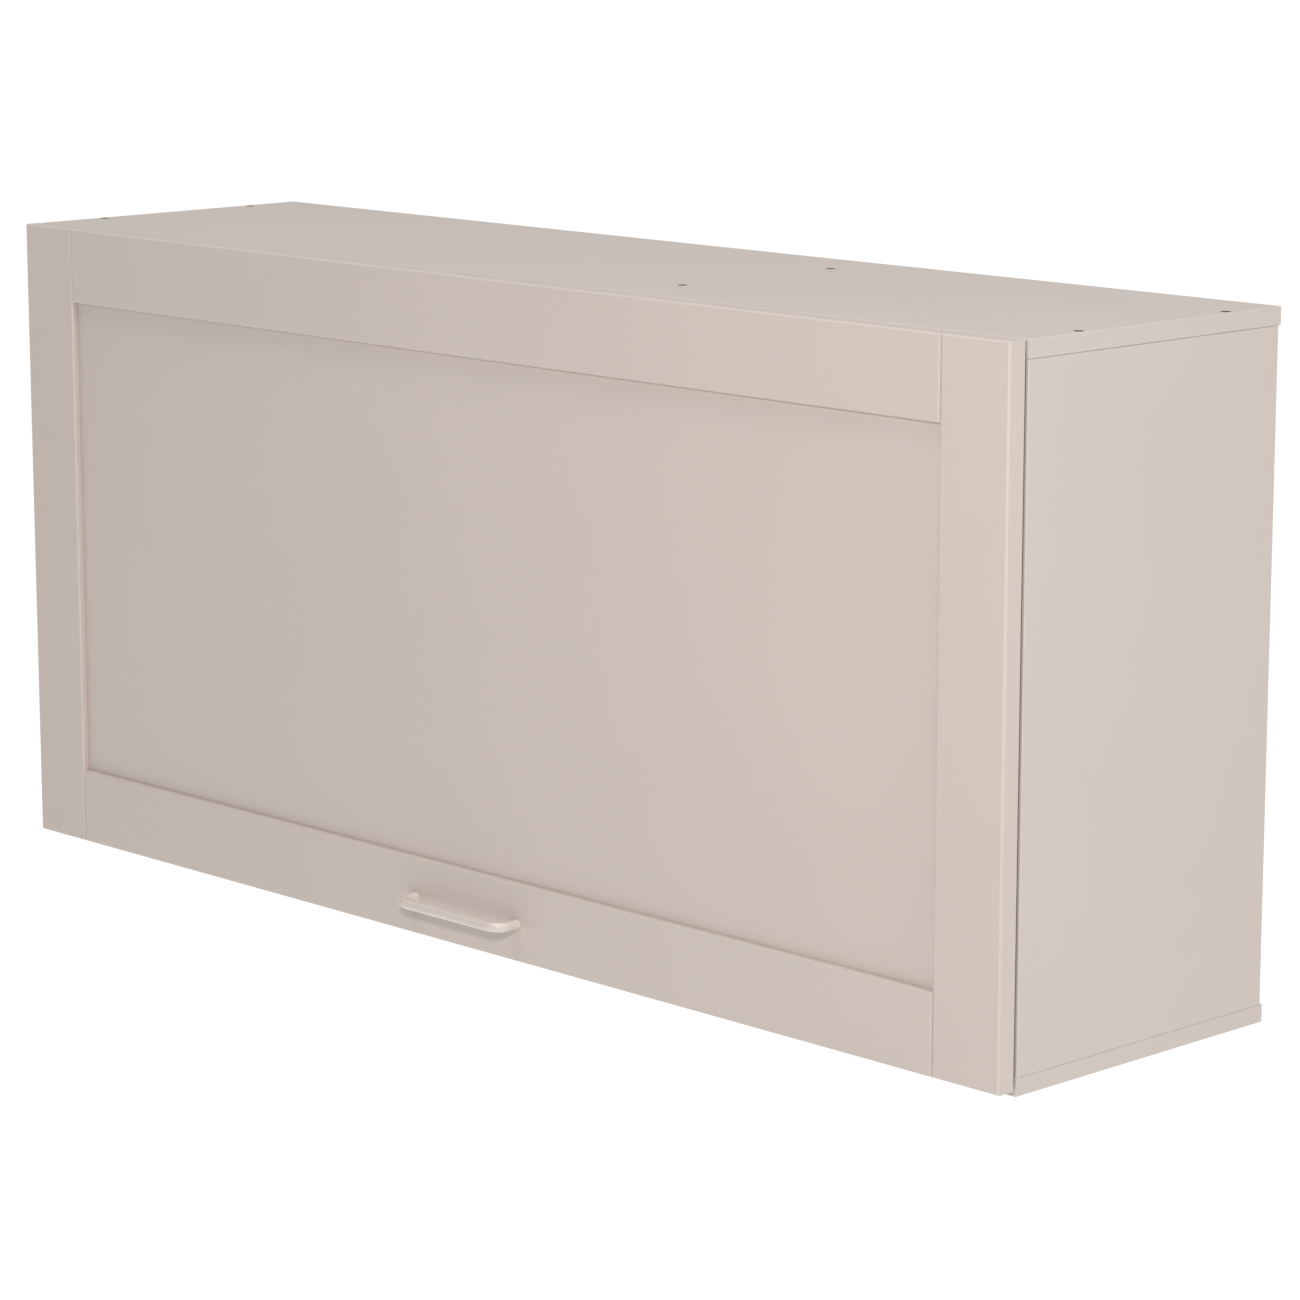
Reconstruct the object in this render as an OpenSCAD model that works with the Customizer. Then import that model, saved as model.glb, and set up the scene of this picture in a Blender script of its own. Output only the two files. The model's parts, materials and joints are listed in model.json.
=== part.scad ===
// Lift up wall cabinet: a wide carcase in two bays under one framed flap, hinged along the top.
// X runs to the right, Y into the wall and Z up. The origin is the bottom middle of the wall side.

/* [Cabinet] */
// Width of the cabinet and of the flap that covers it
cabinetWidth = 1200; // [1000:10:1400]
// Height of the carcase
cabinetHeight = 575; // [540:5:700]
// Depth of the carcase from the wall to its front edge
carcaseDepth = 297; // [270:1:360]
// Thickness of the carcase boards
boardThickness = 15; // [15:1:18]
// Middle of the upright partition, to the right of the cabinet's middle
partitionOffset = 174; // [120:1:240]
// How far the uprights stand back from the front edge of top and bottom
uprightSetback = 1; // [0:0.5:3]
// Rounding of the boards' front edges and of the ends of top and bottom
boardEdgeRadius = 1; // [0.5:0.25:2]

/* [Back] */
// Thickness of the back sheets
backThickness = 3; // [2.5:0.5:5]
// Margin from the back sheets' ends to the cabinet's ends
backMargin = 4; // [2:0.5:8]
// Play around the back sheets
backPlay = 0.5; // [0.2:0.1:1.5]
// Height of the hanging battens
battenHeight = 70; // [50:5:100]
// Radius of the holes that the wall screws go through
wallHoleRadius = 3.5; // [2.5:0.5:5]
// Distance from each batten's end to its wall screw hole
wallHoleInset = 75; // [50:5:110]
// Nails along each upright edge of a back sheet
nailCount = 4; // [2:1:6]

/* [Shelves] */
// Height of the shelves' undersides above the cabinet's underside
shelfHeight = 284; // [200:1:330]
// Depth of the shelves
shelfDepth = 240; // [180:5:270]
// Play between a shelf's ends and the uprights
shelfPlay = 0.8; // [0.3:0.1:2]
// Radius of the shelf pins
shelfPinRadius = 2.5; // [2:0.5:3]

/* [Fasteners] */
// Distance from the carcase's front edge to the first screw
screwFrontInset = 65; // [40:1:90]
// Distance from the wall to the second screw
screwRearInset = 59; // [40:1:90]
// Radius of the screw holes' mouths in top and bottom
screwMouthRadius = 4; // [3.5:0.25:5]
// How deep the screw heads lie under the surface
screwRecess = 3.5; // [2:0.5:5]
// Height of the screw heads
screwHeadHeight = 2.5; // [2:0.5:4]
// Radius of the screws' shanks
screwShankRadius = 2.5; // [2:0.25:3]
// Length of the screws' shanks
screwShankLength = 42; // [35:1:60]
// Radius of the wooden dowels
dowelRadius = 4; // [3:0.5:4]
// Depth of a dowel in the board's face
dowelFaceDepth = 7; // [5:0.5:7]
// Depth of a dowel in the board's end
dowelEndDepth = 20; // [15:1:30]

/* [Flap] */
// Thickness of the flap's frame
flapThickness = 18; // [18:1:22]
// Gap between the closed flap and the front edge of top and bottom
flapGap = 2; // [2:0.5:4]
// How far the flap's lower edge stays above the cabinet's underside
flapBottomGap = 5; // [2:1:10]
// Width of the flap's stiles
stileWidth = 68; // [60:1:90]
// Height of the flap's rails
railHeight = 67; // [60:1:90]
// Thickness of the flap's middle panel
panelThickness = 6; // [4:0.5:8]
// How far the middle panel lies behind the frame's front face
panelRecess = 6; // [4:0.5:7]
// Depth of the groove that holds the middle panel
panelGrooveDepth = 10; // [6:1:14]
// Play of the middle panel and the rails' tenons in the groove
panelPlay = 0.1; // [0.05:0.05:0.3]
// Rounding of the frame's front edges
flapEdgeRadius = 2; // [1:0.25:3]
// Rounding of the frame's rear edges
flapRearRadius = 1.5; // [1:0.25:2]
// Thickness of the soft bumpers that the closed flap meets
bumperThickness = 2.8; // [1.5:0.1:2.9]

/* [Handle] */
// Distance between the handle's screws
handleSpacing = 128; // [96:32:192]
// Height of the handle's bar above the flap's lower edge
handleRise = 32; // [26:1:40]
// Distance from the flap's face to the middle of the handle's bar
handleReach = 21; // [18:1:35]
// Radius of the handle's bar
handleBarRadius = 4.2; // [3.5:0.1:6]
// Radius of the handle's bends
handleBendRadius = 12; // [7:1:18]
// Radius of the handle's feet
handleFootRadius = 4.9; // [4.5:0.1:8]
// Radius of the handle's screws
handleScrewRadius = 1.65; // [1.5:0.05:2.5]

/* [Hinges] */
// Distance from the cabinet's ends to the outer hinges
hingeInset = 115; // [80:5:160]
// Radius of the hinge cups
cupRadius = 17.5; // [17.5:0.5:17.5]
// Depth of the hinge cups
cupDepth = 12; // [12:0.5:13]
// Wall of the hinge cups
cupWall = 0.8; // [0.6:0.1:1.0]
// Wood left between a cup and the flap's top edge
cupToEdge = 3; // [3:0.5:4]
// Distance from a cup's middle up to its pin
pinToCup = 13.9; // [13:0.1:13.9]
// Depth of the pin behind the flap's rear face
pinDepth = 9; // [8.5:0.25:9.25]
// Radius of the hinge pins
pinRadius = 1.1; // [0.9:0.05:1.2]
// Play of the hinge arms on their pins
pinPlay = 0.05; // [0.02:0.01:0.08]
// Radius of the hinge arms' eyes
eyeRadius = 2; // [1.8:0.05:2]
// Width of a hinge arm's neck inside the cup
neckWidth = 8.8; // [7:0.2:8.8]
// Thickness of a hinge arm's neck
neckThickness = 2.2; // [1.8:0.1:2.4]
// Thickness of the mounting plates where the arms sit on them
plateThickness = 3; // [2.8:0.1:3.5]
// Length of the mounting plates
plateLength = 50; // [40:1:60]
// Width of the hinge arms' channels
channelWidth = 15; // [13:0.5:18]
// Height of the hinge arms' channels
channelHeight = 8; // [7:0.5:10]
// Sheet thickness of the channels
channelWall = 1.5; // [1.2:0.1:2]

/* [Gas struts] */
// Distance from the carcase's front edge back to a strut's lower ball
strutSetback = 95; // [80:1:110]
// Drop from the hinge pins to a strut's lower ball
strutDrop = 190; // [180:1:210]
// Drop from the hinge pins to a strut's upper ball, with the flap closed
strutFlapDrop = 50; // [46:1:54]
// Distance from the flap's rear face to a strut's upper ball
strutStandoff = 20; // [19:0.5:24]
// Distance from a side panel to the middle of its strut
strutSideGap = 14; // [13:0.5:18]
// Outer radius of the struts' tubes
tubeRadius = 9; // [8:0.5:9]
// Wall of the struts' tubes
tubeWall = 1.2; // [1:0.1:1.5]
// Radius of the struts' rods
rodRadius = 4; // [3:0.5:4]
// Play of the rods in their guides
rodPlay = 0.05; // [0.02:0.01:0.08]
// Radius of the ball studs' balls
ballRadius = 4.2; // [4:0.1:4.5]
// Play of the balls in their sockets
ballPlay = 0.1; // [0.05:0.01:0.15]
// Gap between an upper ball stud and the bracket on the flap
studGap = 0.3; // [0.2:0.1:0.5]
// Sheet thickness of the struts' brackets
bracketThickness = 2.2; // [1.8:0.1:3]

/* [Hidden] */
$fn = 96;
cutOverrun = 1;

bodyColour = [0.80, 0.75, 0.71];
insideColour = [0.83, 0.79, 0.75];
sheetColour = [0.62, 0.48, 0.35];
steelColour = [0.72, 0.73, 0.74];
darkColour = [0.20, 0.20, 0.21];
woodColour = [0.80, 0.66, 0.46];
clearColour = [0.88, 0.88, 0.85];

// Carcase
frontY = -carcaseDepth;
uprightFrontY = frontY + uprightSetback;
uprightRearY = -backThickness;
uprightDepth = uprightRearY - uprightFrontY;
innerTopZ = cabinetHeight - boardThickness;
innerHeight = innerTopZ - boardThickness;
sideX = cabinetWidth / 2 - boardThickness / 2;
insideX = cabinetWidth / 2 - boardThickness;
uprightXs = [-sideX, partitionOffset, sideX];
screwYs = [frontY + screwFrontInset, -screwRearInset];
dowelY = (screwYs[0] + screwYs[1]) / 2;
screwSeatDepth = screwRecess + screwHeadHeight;
screwHeadPlay = 0.4;
screwSocketRadius = 2;

// Bays on the left and on the right of the partition, from face to face
bays = [
    [-insideX, partitionOffset - boardThickness / 2],
    [partitionOffset + boardThickness / 2, insideX]
];

// Hanging battens and their dowels
battenBottomZ = innerTopZ - battenHeight;
battenY = uprightRearY - boardThickness / 2;
battenDowelEnd = 16;
battenDowelShares = [[0.25, 0.65], [0.36, 0.78]];
wallHoleZ = battenBottomZ + battenHeight / 2;

// Back sheets and nails
sheetSeamGap = 0.5;
sheetSpans = [
    [-cabinetWidth / 2 + backMargin, partitionOffset - sheetSeamGap / 2],
    [partitionOffset + sheetSeamGap / 2, cabinetWidth / 2 - backMargin]
];
nailRadius = 0.8;
nailHeadRadius = 1.8;
nailHeadHeight = 0.6;
nailLength = 20;
nailEdgeInset = 3.5;
nailColumnXs = [-sideX, partitionOffset - nailEdgeInset, partitionOffset + nailEdgeInset, sideX];
nailPitch = (innerHeight - 2 * boardThickness) / nailCount;
nailZs = [for (i = [0:nailCount - 1]) 2 * boardThickness + nailPitch * (i + 0.5)];

// Shelves
shelfRearY = uprightRearY - backPlay;
shelfTabSize = 8;
shelfTabThickness = 2.5;
shelfPinLength = 7;
shelfPinInset = 32;
shelfPinYs = [shelfRearY - shelfPinInset, shelfRearY - shelfDepth + shelfPinInset];

// Flap
flapRearY = frontY - flapGap;
flapFrontY = flapRearY - flapThickness;
flapHeight = cabinetHeight - flapBottomGap;
flapInsideX = cabinetWidth / 2 - stileWidth;
railLength = 2 * flapInsideX;
panelFrontY = flapFrontY + panelRecess;
tenonLength = panelGrooveDepth - 0.5;
grooveWidth = panelThickness + 2 * panelPlay;
bumperRadius = 4;
bumperZ = flapBottomGap + railHeight / 2;

// Handle
handleZ = flapBottomGap + handleRise;
handleBendX = handleSpacing / 2 - handleBendRadius;
handleLegLength = handleReach - handleBendRadius;
handleFootHeight = 6;
handleBoreDepth = 6;
handleScrewEndPlay = 0.5;
handleScrewLength = flapThickness + handleBoreDepth - handleScrewEndPlay;
handleScrewPlay = 0.4;
handleScrewHeadRadius = 4;
handleScrewHeadHeight = 2.4;

// Hinges
hingeXs = [-cabinetWidth / 2 + hingeInset, 0, cabinetWidth / 2 - hingeInset];
pinY = flapRearY - pinDepth;
pinZ = cabinetHeight - cupToEdge - cupRadius + pinToCup;
cupZ = pinZ - pinToCup;
cupInnerRadius = cupRadius - cupWall;
cupFlangeThickness = 1;
cupFlangeRadius = cupRadius + 1;
cupScrewX = 22.5;
cupScrewDrop = 9.5;
cupScrewRadius = 1.75;
cupWingRadius = 5;
cheekGap = 0.3;
cheekHalfHeight = 4;
// The pin's ends stop this far inside the cup's round.
pinEndCover = 0.2;
pinHalfLength = sqrt(pow(cupRadius, 2) - pow(pinToCup + pinRadius, 2)) - pinEndCover;
armTopZ = innerTopZ - plateThickness;
neckBottomZ = armTopZ - neckThickness;
neckBendRadius = 1;
channelFrontY = frontY + 1;
channelLength = plateLength + 8;
plateRailWidth = channelWidth - 2 * channelWall - 0.2;
plateFrontY = channelFrontY + channelWall + 2;
plateScrewY = frontY + 37;
plateScrewX = 16;
plateWingThickness = 2;
plateScrewRadius = 1.75;
plateScrewLength = 11;
plateScrewHeadRadius = 3.6;
plateScrewHeadHeight = 1.8;
armScrewY = frontY + 24;
armScrewRadius = 2.5;
armScrewHeadRadius = 4.6;
armScrewHeadHeight = 2;

// Gas struts, drawn on the right and mirrored for the left
strutX = insideX - strutSideGap;
lowerBall = [frontY + strutSetback, pinZ - strutDrop];
upperBall = [flapRearY + strutStandoff, pinZ - strutFlapDrop];
strutLength = norm(upperBall - lowerBall);
strutTilt = atan2(lowerBall[0] - upperBall[0], upperBall[1] - lowerBall[1]);
socketRadius = 6.5;
socketWall = 1.7;
socketMouth = 5;
socketShankRadius = 5;
socketShankEnd = 14;
studNeckRadius = 2.5;
studNeckPlay = 1;
studFootRadius = 4.5;
studFootHeight = 2.5;
studNeckLength = 3;
rivetHeadRadius = 4;
rivetHeadHeight = 1.2;
guideLength = 12;
guideLip = 0.6;
tubeEnd = strutLength - socketShankEnd - 2;
tubeBase = 2;
pistonHeight = 8;
pistonPlay = 0.1;
pistonStart = socketShankEnd + tubeBase + 2;
anchorWidth = 24;
anchorHeight = 46;
anchorCorner = 5;
anchorScrewOffset = 15;
bracketFootWidth = 24;
bracketFootHeight = 34;
bracketNose = 6.5;
bracketScrewOffset = 10;
bracketFaceX = strutX - ballRadius - studNeckLength - studFootHeight - studGap;
strutScrewRadius = 1.75;
strutScrewLength = 12;
strutScrewHeadRadius = 3.4;
strutScrewHeadHeight = 1.8;

// A rectangle from the origin with its own radius at each corner, counted from the origin anticlockwise
module roundedRectangle(size, radii) {
    difference() {
        square(size);
        for (i = [0:3]) {
            r = radii[i];
            corner = [(i == 1 || i == 2) ? size[0] : 0, i > 1 ? size[1] : 0];
            if (r > 0)
                translate(corner)
                    rotate(i * 90)
                        difference() {
                            translate([-cutOverrun, -cutOverrun]) square(r + cutOverrun);
                            translate([r, r]) circle(r);
                        }
        }
    }
}

// Stands a profile drawn in Y and Z along X, from x0 to x1
module alongX(x0, x1) {
    translate([x0, 0, 0]) rotate([90, 0, 90]) linear_extrude(x1 - x0) children();
}

// A cylinder along Y from y0 towards the wall
module cylinderY(x, y0, z, radius, length) {
    translate([x, y0, z]) rotate([-90, 0, 0]) cylinder(r = radius, h = length);
}

// A cylinder along X from x0 to the right
module cylinderX(x0, y, z, radius, length) {
    translate([x0, y, z]) rotate([0, 90, 0]) cylinder(r = radius, h = length);
}

// The right side's pieces, mirrored for the left
module onSide(side) {
    mirror([side < 0 ? 1 : 0, 0, 0]) children();
}

// ---- carcase ----

// Holes down through a board lying on the uprights, its outer face at z = 0 and the uprights below
module screwHoles() {
    for (x = uprightXs, y = screwYs) {
        translate([x, y, -screwSeatDepth]) cylinder(r = screwMouthRadius, h = screwSeatDepth + cutOverrun);
        translate([x, y, -boardThickness - cutOverrun])
            cylinder(r = screwShankRadius, h = boardThickness + 2 * cutOverrun);
    }
    for (x = uprightXs)
        translate([x, dowelY, -boardThickness - cutOverrun])
            cylinder(r = dowelRadius, h = dowelFaceDepth + cutOverrun);
}

// The screws of one board, in the same place as its holes
module screwSet() {
    headRadius = screwMouthRadius - screwHeadPlay;
    for (x = uprightXs, y = screwYs)
        translate([x, y, -screwSeatDepth])
            difference() {
                union() {
                    cylinder(r = headRadius, h = screwHeadHeight);
                    translate([0, 0, -screwShankLength]) cylinder(r = screwShankRadius, h = screwShankLength);
                }
                translate([0, 0, screwHeadHeight - 2]) cylinder(r = screwSocketRadius, h = 3, $fn = 6);
            }
}

// Top and bottom run the full width and depth, over the ends of the uprights
module lyingBoard(topSide) {
    edge = boardEdgeRadius;
    translate([0, frontY, topSide ? innerTopZ : 0])
        intersection() {
            alongX(-cabinetWidth / 2, cabinetWidth / 2)
                roundedRectangle([carcaseDepth, boardThickness], [edge, 0, 0, edge]);
            translate([-cabinetWidth / 2, carcaseDepth, 0])
                rotate([90, 0, 0])
                    linear_extrude(carcaseDepth)
                        roundedRectangle([cabinetWidth, boardThickness], [edge, edge, edge, edge]);
        }
}

module top_panel() {
    color(bodyColour)
        difference() {
            lyingBoard(true);
            translate([0, 0, cabinetHeight]) screwHoles();
            for (x = hingeXs, side = [-1, 1])
                translate([x + side * plateScrewX, plateScrewY, innerTopZ - cutOverrun])
                    cylinder(r = plateScrewRadius, h = plateScrewLength - plateWingThickness + cutOverrun);
        }
}

module bottom_panel() {
    color(bodyColour)
        difference() {
            lyingBoard(false);
            mirror([0, 0, 1]) screwHoles();
        }
}

// An upright board on the middle line x, with the bores for the screws and dowels in both its ends
module upright(x) {
    pilotDepth = screwSeatDepth + screwShankLength - boardThickness;
    difference() {
        translate([x - boardThickness / 2, uprightFrontY, boardThickness])
            linear_extrude(innerHeight)
                roundedRectangle(
                    [boardThickness, uprightDepth], [boardEdgeRadius, boardEdgeRadius, 0, 0]
                );
        for (y = screwYs) {
            translate([x, y, innerTopZ - pilotDepth])
                cylinder(r = screwShankRadius, h = pilotDepth + cutOverrun);
            translate([x, y, boardThickness - cutOverrun])
                cylinder(r = screwShankRadius, h = pilotDepth + cutOverrun);
        }
        translate([x, dowelY, innerTopZ - dowelEndDepth])
            cylinder(r = dowelRadius, h = dowelEndDepth + cutOverrun);
        translate([x, dowelY, boardThickness - cutOverrun])
            cylinder(r = dowelRadius, h = dowelEndDepth + cutOverrun);
        for (column = nailColumnXs, z = nailZs)
            cylinderY(column, uprightRearY - (nailLength - backThickness), z, nailRadius, nailLength);
    }
}

// Bores in the face of an upright, where the faces of a bay meet it: bay 0 is on the left, 1 on the right
module bayBores(bay) {
    for (end = [0, 1]) {
        x = bays[bay][end];
        towards = end == 0 ? -1 : 1;
        for (share = battenDowelShares[bay])
            cylinderX(
                min(x - towards * cutOverrun, x + towards * dowelFaceDepth), battenY,
                battenBottomZ + share * battenHeight, dowelRadius, dowelFaceDepth + cutOverrun
            );
        for (y = shelfPinYs)
            cylinderX(
                min(x - towards * cutOverrun, x + towards * shelfPinLength), y,
                shelfHeight - shelfTabThickness - shelfPinRadius, shelfPinRadius, shelfPinLength + cutOverrun
            );
    }
}

module anchorPilots() {
    for (offset = [-1, 1])
        cylinderX(
            insideX - cutOverrun, lowerBall[0], lowerBall[1] + offset * anchorScrewOffset,
            strutScrewRadius, strutScrewLength - bracketThickness + cutOverrun
        );
}

module left_side_panel() {
    color(bodyColour)
        difference() {
            upright(-sideX);
            bayBores(0);
            onSide(-1) anchorPilots();
        }
}

module right_side_panel() {
    color(bodyColour)
        difference() {
            upright(sideX);
            bayBores(1);
            onSide(1) anchorPilots();
        }
}

module partition() {
    color(insideColour)
        difference() {
            upright(partitionOffset);
            bayBores(0);
            bayBores(1);
        }
}

// Holes for the wall screws, through batten and back sheet alike
module wallHoles(bay) {
    for (x = [bays[bay][0] + wallHoleInset, bays[bay][1] - wallHoleInset])
        cylinderY(
            x, uprightRearY - boardThickness - cutOverrun, wallHoleZ, wallHoleRadius,
            boardThickness + backThickness + 2 * cutOverrun
        );
}

// A back sheet lies on the uprights' rear edges, between top and bottom
module backSheet(bay) {
    span = sheetSpans[bay];
    difference() {
        translate([span[0], uprightRearY, boardThickness + backPlay])
            cube([span[1] - span[0], backThickness, innerHeight - 2 * backPlay]);
        wallHoles(bay);
        for (column = nailColumnXs, z = nailZs) {
            cylinderY(column, uprightRearY - cutOverrun, z, nailRadius, backThickness + 2 * cutOverrun);
            cylinderY(column, -nailHeadHeight, z, nailHeadRadius, nailHeadHeight + cutOverrun);
        }
    }
}

module left_back_sheet() { color(sheetColour) backSheet(0); }

module right_back_sheet() { color(sheetColour) backSheet(1); }

// A hanging batten fills the bay's width under the top, against the back sheet
module batten(bay) {
    span = bays[bay];
    difference() {
        translate([span[0], uprightRearY - boardThickness, battenBottomZ])
            cube([span[1] - span[0], boardThickness, battenHeight]);
        wallHoles(bay);
        for (end = [0, 1], share = battenDowelShares[bay])
            cylinderX(
                end == 0 ? span[0] - cutOverrun : span[1] - battenDowelEnd, battenY,
                battenBottomZ + share * battenHeight, dowelRadius, battenDowelEnd + cutOverrun
            );
    }
}

module left_batten() { color(insideColour) batten(0); }

module right_batten() { color(insideColour) batten(1); }

module batten_dowels() {
    color(woodColour)
        for (bay = [0, 1], end = [0, 1], share = battenDowelShares[bay])
            cylinderX(
                bays[bay][end] - (end == 0 ? dowelFaceDepth : battenDowelEnd), battenY,
                battenBottomZ + share * battenHeight, dowelRadius, dowelFaceDepth + battenDowelEnd
            );
}

module shelf(bay) {
    span = bays[bay];
    translate([0, shelfRearY - shelfDepth, shelfHeight])
        alongX(span[0] + shelfPlay, span[1] - shelfPlay)
            roundedRectangle([shelfDepth, boardThickness], [boardEdgeRadius, 0, 0, boardEdgeRadius]);
}

module left_shelf() { color(insideColour) shelf(0); }

module right_shelf() { color(insideColour) shelf(1); }

// Each pin has a round end in the upright and a flat tab under the shelf
module shelf_pins() {
    pinZPlace = shelfHeight - shelfTabThickness - shelfPinRadius;
    color(steelColour)
        for (bay = [0, 1], end = [0, 1], y = shelfPinYs) {
            x = bays[bay][end];
            cylinderX(
                x - (end == 0 ? shelfPinLength : shelfTabSize), y, pinZPlace, shelfPinRadius,
                shelfPinLength + shelfTabSize
            );
            translate([end == 0 ? x : x - shelfTabSize, y - shelfTabSize / 2, pinZPlace])
                cube([shelfTabSize, shelfTabSize, shelfPinRadius + shelfTabThickness]);
        }
}

module top_screws() { color(darkColour) translate([0, 0, cabinetHeight]) screwSet(); }

module bottom_screws() { color(darkColour) mirror([0, 0, 1]) screwSet(); }

module carcase_dowels() {
    color(woodColour)
        for (x = uprightXs) {
            translate([x, dowelY, innerTopZ - dowelEndDepth])
                cylinder(r = dowelRadius, h = dowelEndDepth + dowelFaceDepth);
            translate([x, dowelY, boardThickness - dowelFaceDepth])
                cylinder(r = dowelRadius, h = dowelEndDepth + dowelFaceDepth);
        }
}

module back_nails() {
    color(steelColour)
        for (column = nailColumnXs, z = nailZs) {
            cylinderY(column, -nailLength, z, nailRadius, nailLength - nailHeadHeight);
            cylinderY(column, -nailHeadHeight, z, nailHeadRadius, nailHeadHeight);
        }
}

// Soft discs on the uprights' front edges, behind the flap's bottom rail
module flap_bumpers() {
    color(clearColour)
        for (x = uprightXs)
            cylinderY(x, uprightFrontY - bumperThickness, bumperZ, bumperRadius, bumperThickness);
}

// ---- flap frame ----

// The frame's upright cross-section, rounded front and rear at its top and bottom edges
module flapSection() {
    translate([flapFrontY, flapBottomGap])
        roundedRectangle(
            [flapThickness, flapHeight],
            [flapEdgeRadius, flapRearRadius, flapRearRadius, flapEdgeRadius]
        );
}

// The groove for the middle panel, along X or along Z
module grooveAlongZ(x0, x1) {
    translate([x0, panelFrontY - panelPlay, flapBottomGap - cutOverrun])
        cube([x1 - x0, grooveWidth, flapHeight + 2 * cutOverrun]);
}

// A stile runs the flap's full height; drawn on the right
module stile() {
    difference() {
        intersection() {
            alongX(flapInsideX, cabinetWidth / 2) flapSection();
            translate([flapInsideX, flapFrontY, flapBottomGap])
                linear_extrude(flapHeight)
                    roundedRectangle(
                        [stileWidth, flapThickness],
                        [flapEdgeRadius, flapEdgeRadius, flapRearRadius, flapRearRadius]
                    );
        }
        grooveAlongZ(flapInsideX - cutOverrun, flapInsideX + panelGrooveDepth);
        for (offset = [-1, 1])
            cylinderY(
                bracketFaceX - bracketFootWidth / 2, flapRearY - strutScrewLength + bracketThickness,
                upperBall[1] + offset * bracketScrewOffset, strutScrewRadius, strutScrewLength
            );
    }
}

module flap_left_stile() { color(bodyColour) onSide(-1) stile(); }

module flap_right_stile() { color(bodyColour) onSide(1) stile(); }

// A rail between the stiles, its ends rounded like its edges, with a tenon at each end.
// z0 is its lower edge, and grooveUp says whether its groove opens upwards.
module rail(z0, grooveUp) {
    grooveZ = grooveUp ? z0 + railHeight - panelGrooveDepth : z0 - cutOverrun;
    difference() {
        union() {
            intersection() {
                alongX(-flapInsideX, flapInsideX)
                    translate([flapFrontY, z0])
                        roundedRectangle(
                            [flapThickness, railHeight],
                            [flapEdgeRadius, flapRearRadius, flapRearRadius, flapEdgeRadius]
                        );
                translate([-flapInsideX, flapFrontY, z0])
                    linear_extrude(railHeight)
                        roundedRectangle([railLength, flapThickness], [flapEdgeRadius, flapEdgeRadius, 0, 0]);
            }
            translate([-flapInsideX - tenonLength, panelFrontY, z0])
                cube([railLength + 2 * tenonLength, panelThickness, railHeight]);
        }
        translate([-flapInsideX - tenonLength - cutOverrun, panelFrontY - panelPlay, grooveZ])
            cube([railLength + 2 * (tenonLength + cutOverrun), grooveWidth, panelGrooveDepth + cutOverrun]);
    }
}

module flap_top_rail() {
    color(bodyColour)
        difference() {
            rail(cabinetHeight - railHeight, false);
            for (x = hingeXs) {
                cylinderY(x, flapRearY - cupDepth, cupZ, cupRadius, cupDepth + cutOverrun);
                for (side = [-1, 1])
                    cylinderY(
                        x + side * cupScrewX, flapRearY - cupDepth, cupZ - cupScrewDrop, cupScrewRadius,
                        cupDepth + cutOverrun
                    );
            }
        }
}

module flap_bottom_rail() {
    color(bodyColour)
        difference() {
            rail(flapBottomGap, true);
            for (side = [-1, 1])
                cylinderY(
                    side * handleSpacing / 2, flapFrontY - cutOverrun, handleZ,
                    handleScrewRadius + handleScrewPlay, flapThickness + 2 * cutOverrun
                );
        }
}

module flap_panel() {
    reach = panelGrooveDepth - 1;
    color(bodyColour)
        translate([-flapInsideX - reach, panelFrontY, flapBottomGap + railHeight - reach])
            cube([
                2 * (flapInsideX + reach), panelThickness, flapHeight - 2 * (railHeight - reach)
            ]);
}

// ---- handle ----

// One half of the handle, from the middle of the bar to the right foot, with the flap's face at y = 0
module handleHalf() {
    cylinderX(0, -handleReach, 0, handleBarRadius, handleBendX);
    translate([handleBendX, -handleLegLength, 0])
        rotate([0, 0, -90])
            rotate_extrude(angle = 90) translate([handleBendRadius, 0]) circle(handleBarRadius);
    cylinderY(handleSpacing / 2, -handleLegLength, 0, handleBarRadius, handleLegLength);
    translate([handleSpacing / 2, 0, 0])
        rotate([90, 0, 0]) cylinder(r1 = handleFootRadius, r2 = handleBarRadius, h = handleFootHeight);
}

module handle() {
    color(bodyColour)
        translate([0, flapFrontY, handleZ])
            difference() {
                union() {
                    handleHalf();
                    mirror([1, 0, 0]) handleHalf();
                }
                for (side = [-1, 1])
                    cylinderY(
                        side * handleSpacing / 2, -handleBoreDepth, 0, handleScrewRadius,
                        handleBoreDepth + cutOverrun
                    );
            }
}

module handle_screws() {
    color(steelColour)
        for (side = [-1, 1]) {
            cylinderY(
                side * handleSpacing / 2, flapRearY - handleScrewLength, handleZ, handleScrewRadius,
                handleScrewLength
            );
            cylinderY(
                side * handleSpacing / 2, flapRearY, handleZ, handleScrewHeadRadius,
                handleScrewHeadHeight
            );
        }
}

// ---- hinges ----

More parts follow.
